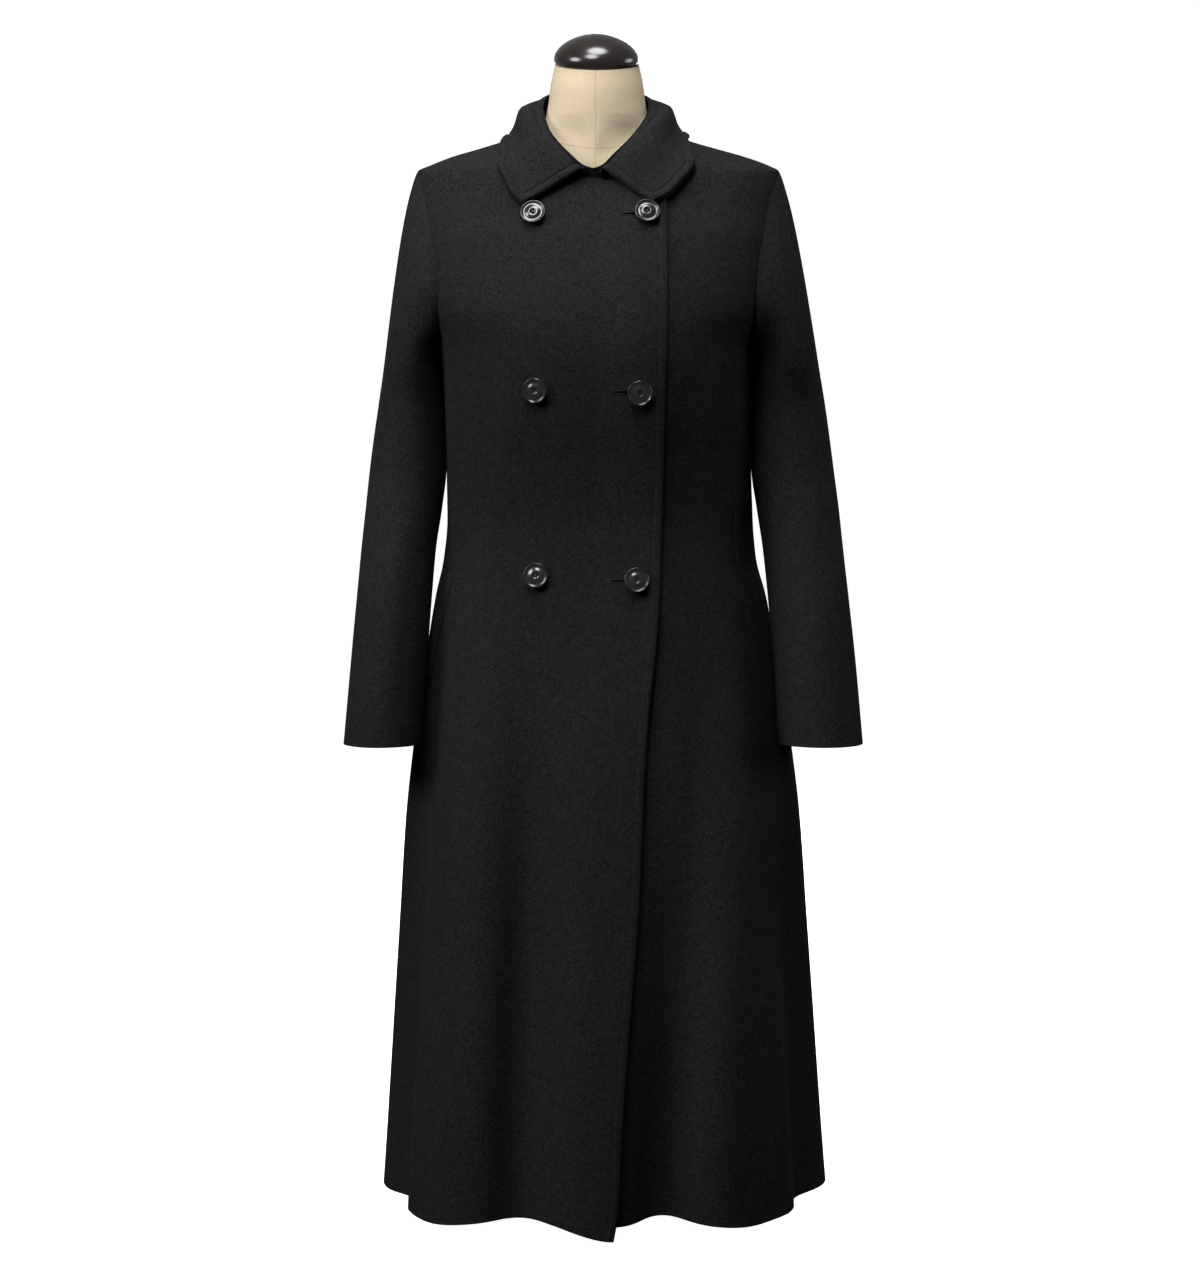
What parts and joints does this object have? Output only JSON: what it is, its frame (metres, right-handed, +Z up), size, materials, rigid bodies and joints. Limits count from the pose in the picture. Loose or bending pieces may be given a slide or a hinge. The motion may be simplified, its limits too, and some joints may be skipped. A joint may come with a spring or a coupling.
{
  "type": "tailored coat on a dress form",
  "caption": "Double-breasted knee-length wool coat with a flared skirt, small turn-down collar and set-in sleeves, standing on a limbless linen dress form.",
  "frame": {"origin": "on the underside of the stand's base, below the middle of the coat", "axes": "+Z up along the coat, +X to the wearer's left, -Y to the front"},
  "size_m": [0.538, 0.4236, 1.2278],
  "materials": {
    "wool": "felted nap, matt",
    "button": "polished",
    "linen": "plain weave",
    "lacquer": "gloss lacquer",
    "pole": "gloss",
    "base": "white enamel"
  },
  "bodies": {
    "root": {"front_right": "wool", "front_left": "wool", "side_right": "wool", "side_left": "wool", "back": "wool", "yoke_right": "wool", "yoke_left": "wool", "sleeve_right_top": "wool", "sleeve_right_under": "wool", "sleeve_left_top": "wool", "sleeve_left_under": "wool", "collar_stand": "wool", "collar": "wool", "pocket_welt_right": "wool", "pocket_welt_left": "wool", "button_right_1": "button", "button_right_2": "button", "button_right_3": "button", "button_left_1": "button", "button_left_2": "button", "button_left_3": "button", "form": "linen", "form_cap": "lacquer", "form_pole": "pole", "form_base": "base"}
  },
  "joints": []
}
